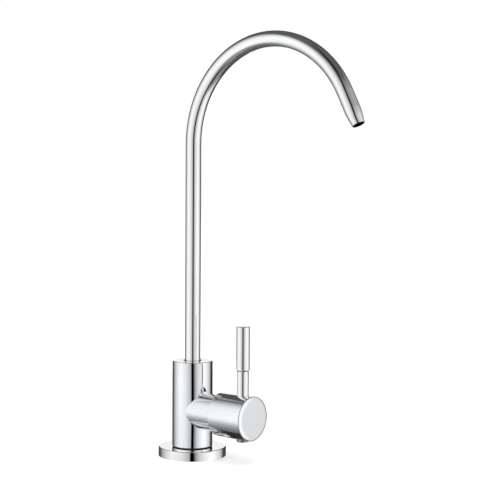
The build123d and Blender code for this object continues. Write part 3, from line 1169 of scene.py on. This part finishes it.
@dataclass
class Studio:
    """Camera, background, floor and lamps, which aren't part of the tap."""

    # Camera, as solved from the outlines in the photograph
    camera_azimuth: float = math.radians(42.52)
    camera_distance: float = 851.3 * MM
    camera_height: float = 185.65 * MM
    camera_pan: float = 0.0353
    camera_tilt: float = 0.0547
    camera_roll: float = 0.0060
    focal_length_px: float = 1329.3
    image_width_px: int = 480
    sensor_width_mm: float = 36.0

    # Floor, whose lift makes it white and leaves a faint shadow near the tap
    floor_size: float = 6.0
    floor_colour: str = "#F2F2F2"
    floor_lift_near: float = 0.45
    floor_lift_far: float = 0.62
    lift_near_edge: float = 60 * MM
    lift_far_edge: float = 250 * MM

    # Light
    world_colour: str = "#F4F6F8"
    world_level: float = 0.55
    aim_height: float = 120 * MM
    lamps: tuple[Lamp, ...] = (
        Lamp("top_lamp", (0.3, -0.2, 1.6), 1.2, 9.0),
        Lamp("side_lamp", (-0.7, -1.3, 0.9), 1.0, 7.0),
    )

    def make_camera(self) -> None:
        """Place the camera where the photograph was taken from."""
        data = bpy.data.cameras.new("camera")
        data.sensor_width = self.sensor_width_mm
        data.lens = self.focal_length_px / self.image_width_px * self.sensor_width_mm
        camera = bpy.data.objects.new("camera", data)
        bpy.context.scene.collection.objects.link(camera)
        azimuth = self.camera_azimuth
        place = Vector((math.sin(azimuth), -math.cos(azimuth), 0.0)) * self.camera_distance
        place.z = self.camera_height
        aim = Matrix.Rotation(azimuth - self.camera_pan, 4, "Z")
        aim @= Matrix.Rotation(QUARTER_TURN - self.camera_tilt, 4, "X")
        aim @= Matrix.Rotation(self.camera_roll, 4, "Z")
        camera.matrix_world = Matrix.Translation(place) @ aim
        bpy.context.scene.camera = camera

    def seen_ray(self, tree: bpy.types.NodeTree) -> Any:
        """Find the rays that see the background: from the camera, off metal or through glass.

        Args:
            tree: Node tree that takes the nodes.

        Returns:
            Output that is 1 for such a ray and 0 for the rest.
        """
        path = add_node(tree, "LightPath").outputs
        first = calculate(tree, "MAXIMUM", path["Is Camera Ray"], path["Is Glossy Ray"])
        return calculate(tree, "MAXIMUM", first, path["Is Transmission Ray"])

    def make_world(self) -> None:
        """Light the scene evenly from all round, in front of a white background."""
        world = bpy.data.worlds.new("studio")
        bpy.context.scene.world = world
        world.use_nodes = True
        tree = world.node_tree
        tree.nodes.clear()
        white = add_node(tree, "Background", {"Color": (1.0, 1.0, 1.0, 1.0), "Strength": 1.0})
        settings = {"Color": linear(self.world_colour), "Strength": self.world_level}
        soft = add_node(tree, "Background", settings)
        links = {0: self.seen_ray(tree), 1: soft.outputs[0], 2: white.outputs[0]}
        mixed = add_node(tree, "MixShader", links=links)
        add_node(tree, "OutputWorld", links={"Surface": mixed.outputs[0]})

    def floor_lift(self, tree: bpy.types.NodeTree) -> Any:
        """Lift the floor towards white for the rays that see it, and less near the tap.

        Args:
            tree: Node tree that takes the nodes.

        Returns:
            Output of the lift's glow.
        """
        place = add_node(tree, "TexCoord").outputs["Object"]
        away = add_node(tree, "VectorMath", {"operation": "LENGTH"}, {0: place}).outputs["Value"]
        settings = {
            "From Min": self.lift_near_edge,
            "From Max": self.lift_far_edge,
            "To Min": self.floor_lift_near,
            "To Max": self.floor_lift_far,
        }
        level = add_node(tree, "MapRange", settings, {"Value": away}).outputs["Result"]
        lift = add_node(tree, "Emission", links={"Strength": level})
        none = add_node(tree, "Emission", {"Strength": 0.0})
        links = {0: self.seen_ray(tree), 1: none.outputs[0], 2: lift.outputs[0]}
        return add_node(tree, "MixShader", links=links).outputs[0]

    def make_floor(self) -> None:
        """Lay the plain pale floor that the tap stands on, which keeps the tap's shadow."""
        bpy.ops.mesh.primitive_plane_add(size=self.floor_size, location=(0.0, 0.0, 0.0))
        floor = bpy.context.object
        floor.name = "floor"
        material, tree = new_material("pale_floor")
        pale = add_node(tree, "BsdfDiffuse", {"Color": linear(self.floor_colour)})
        links = {0: pale.outputs[0], 1: self.floor_lift(tree)}
        both = add_node(tree, "AddShader", links=links)
        add_node(tree, "OutputMaterial", links={"Surface": both.outputs[0]})
        floor.data.materials.append(material)
        floor.visible_glossy = False

    def build(self) -> None:
        """Set up the whole studio."""
        self.make_camera()
        self.make_world()
        self.make_floor()
        PaintedReflectionTent(self.camera_azimuth).build()
        for lamp in self.lamps:
            lamp.hang(self.aim_height)
        bpy.context.scene.view_settings.view_transform = "Standard"
        log.info("studio: camera, floor, lamps and light tent")


def main() -> None:
    """Build the tap's looks in order."""
    logging.basicConfig(level=logging.INFO, format="%(name)s %(message)s")
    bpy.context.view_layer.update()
    select_none()
    for part in (Body(), Spout(), Handle(), Valve(), Fixings()):
        part.build()
        part.dress()
    Studio().build()


if __name__ == "__main__":
    main()
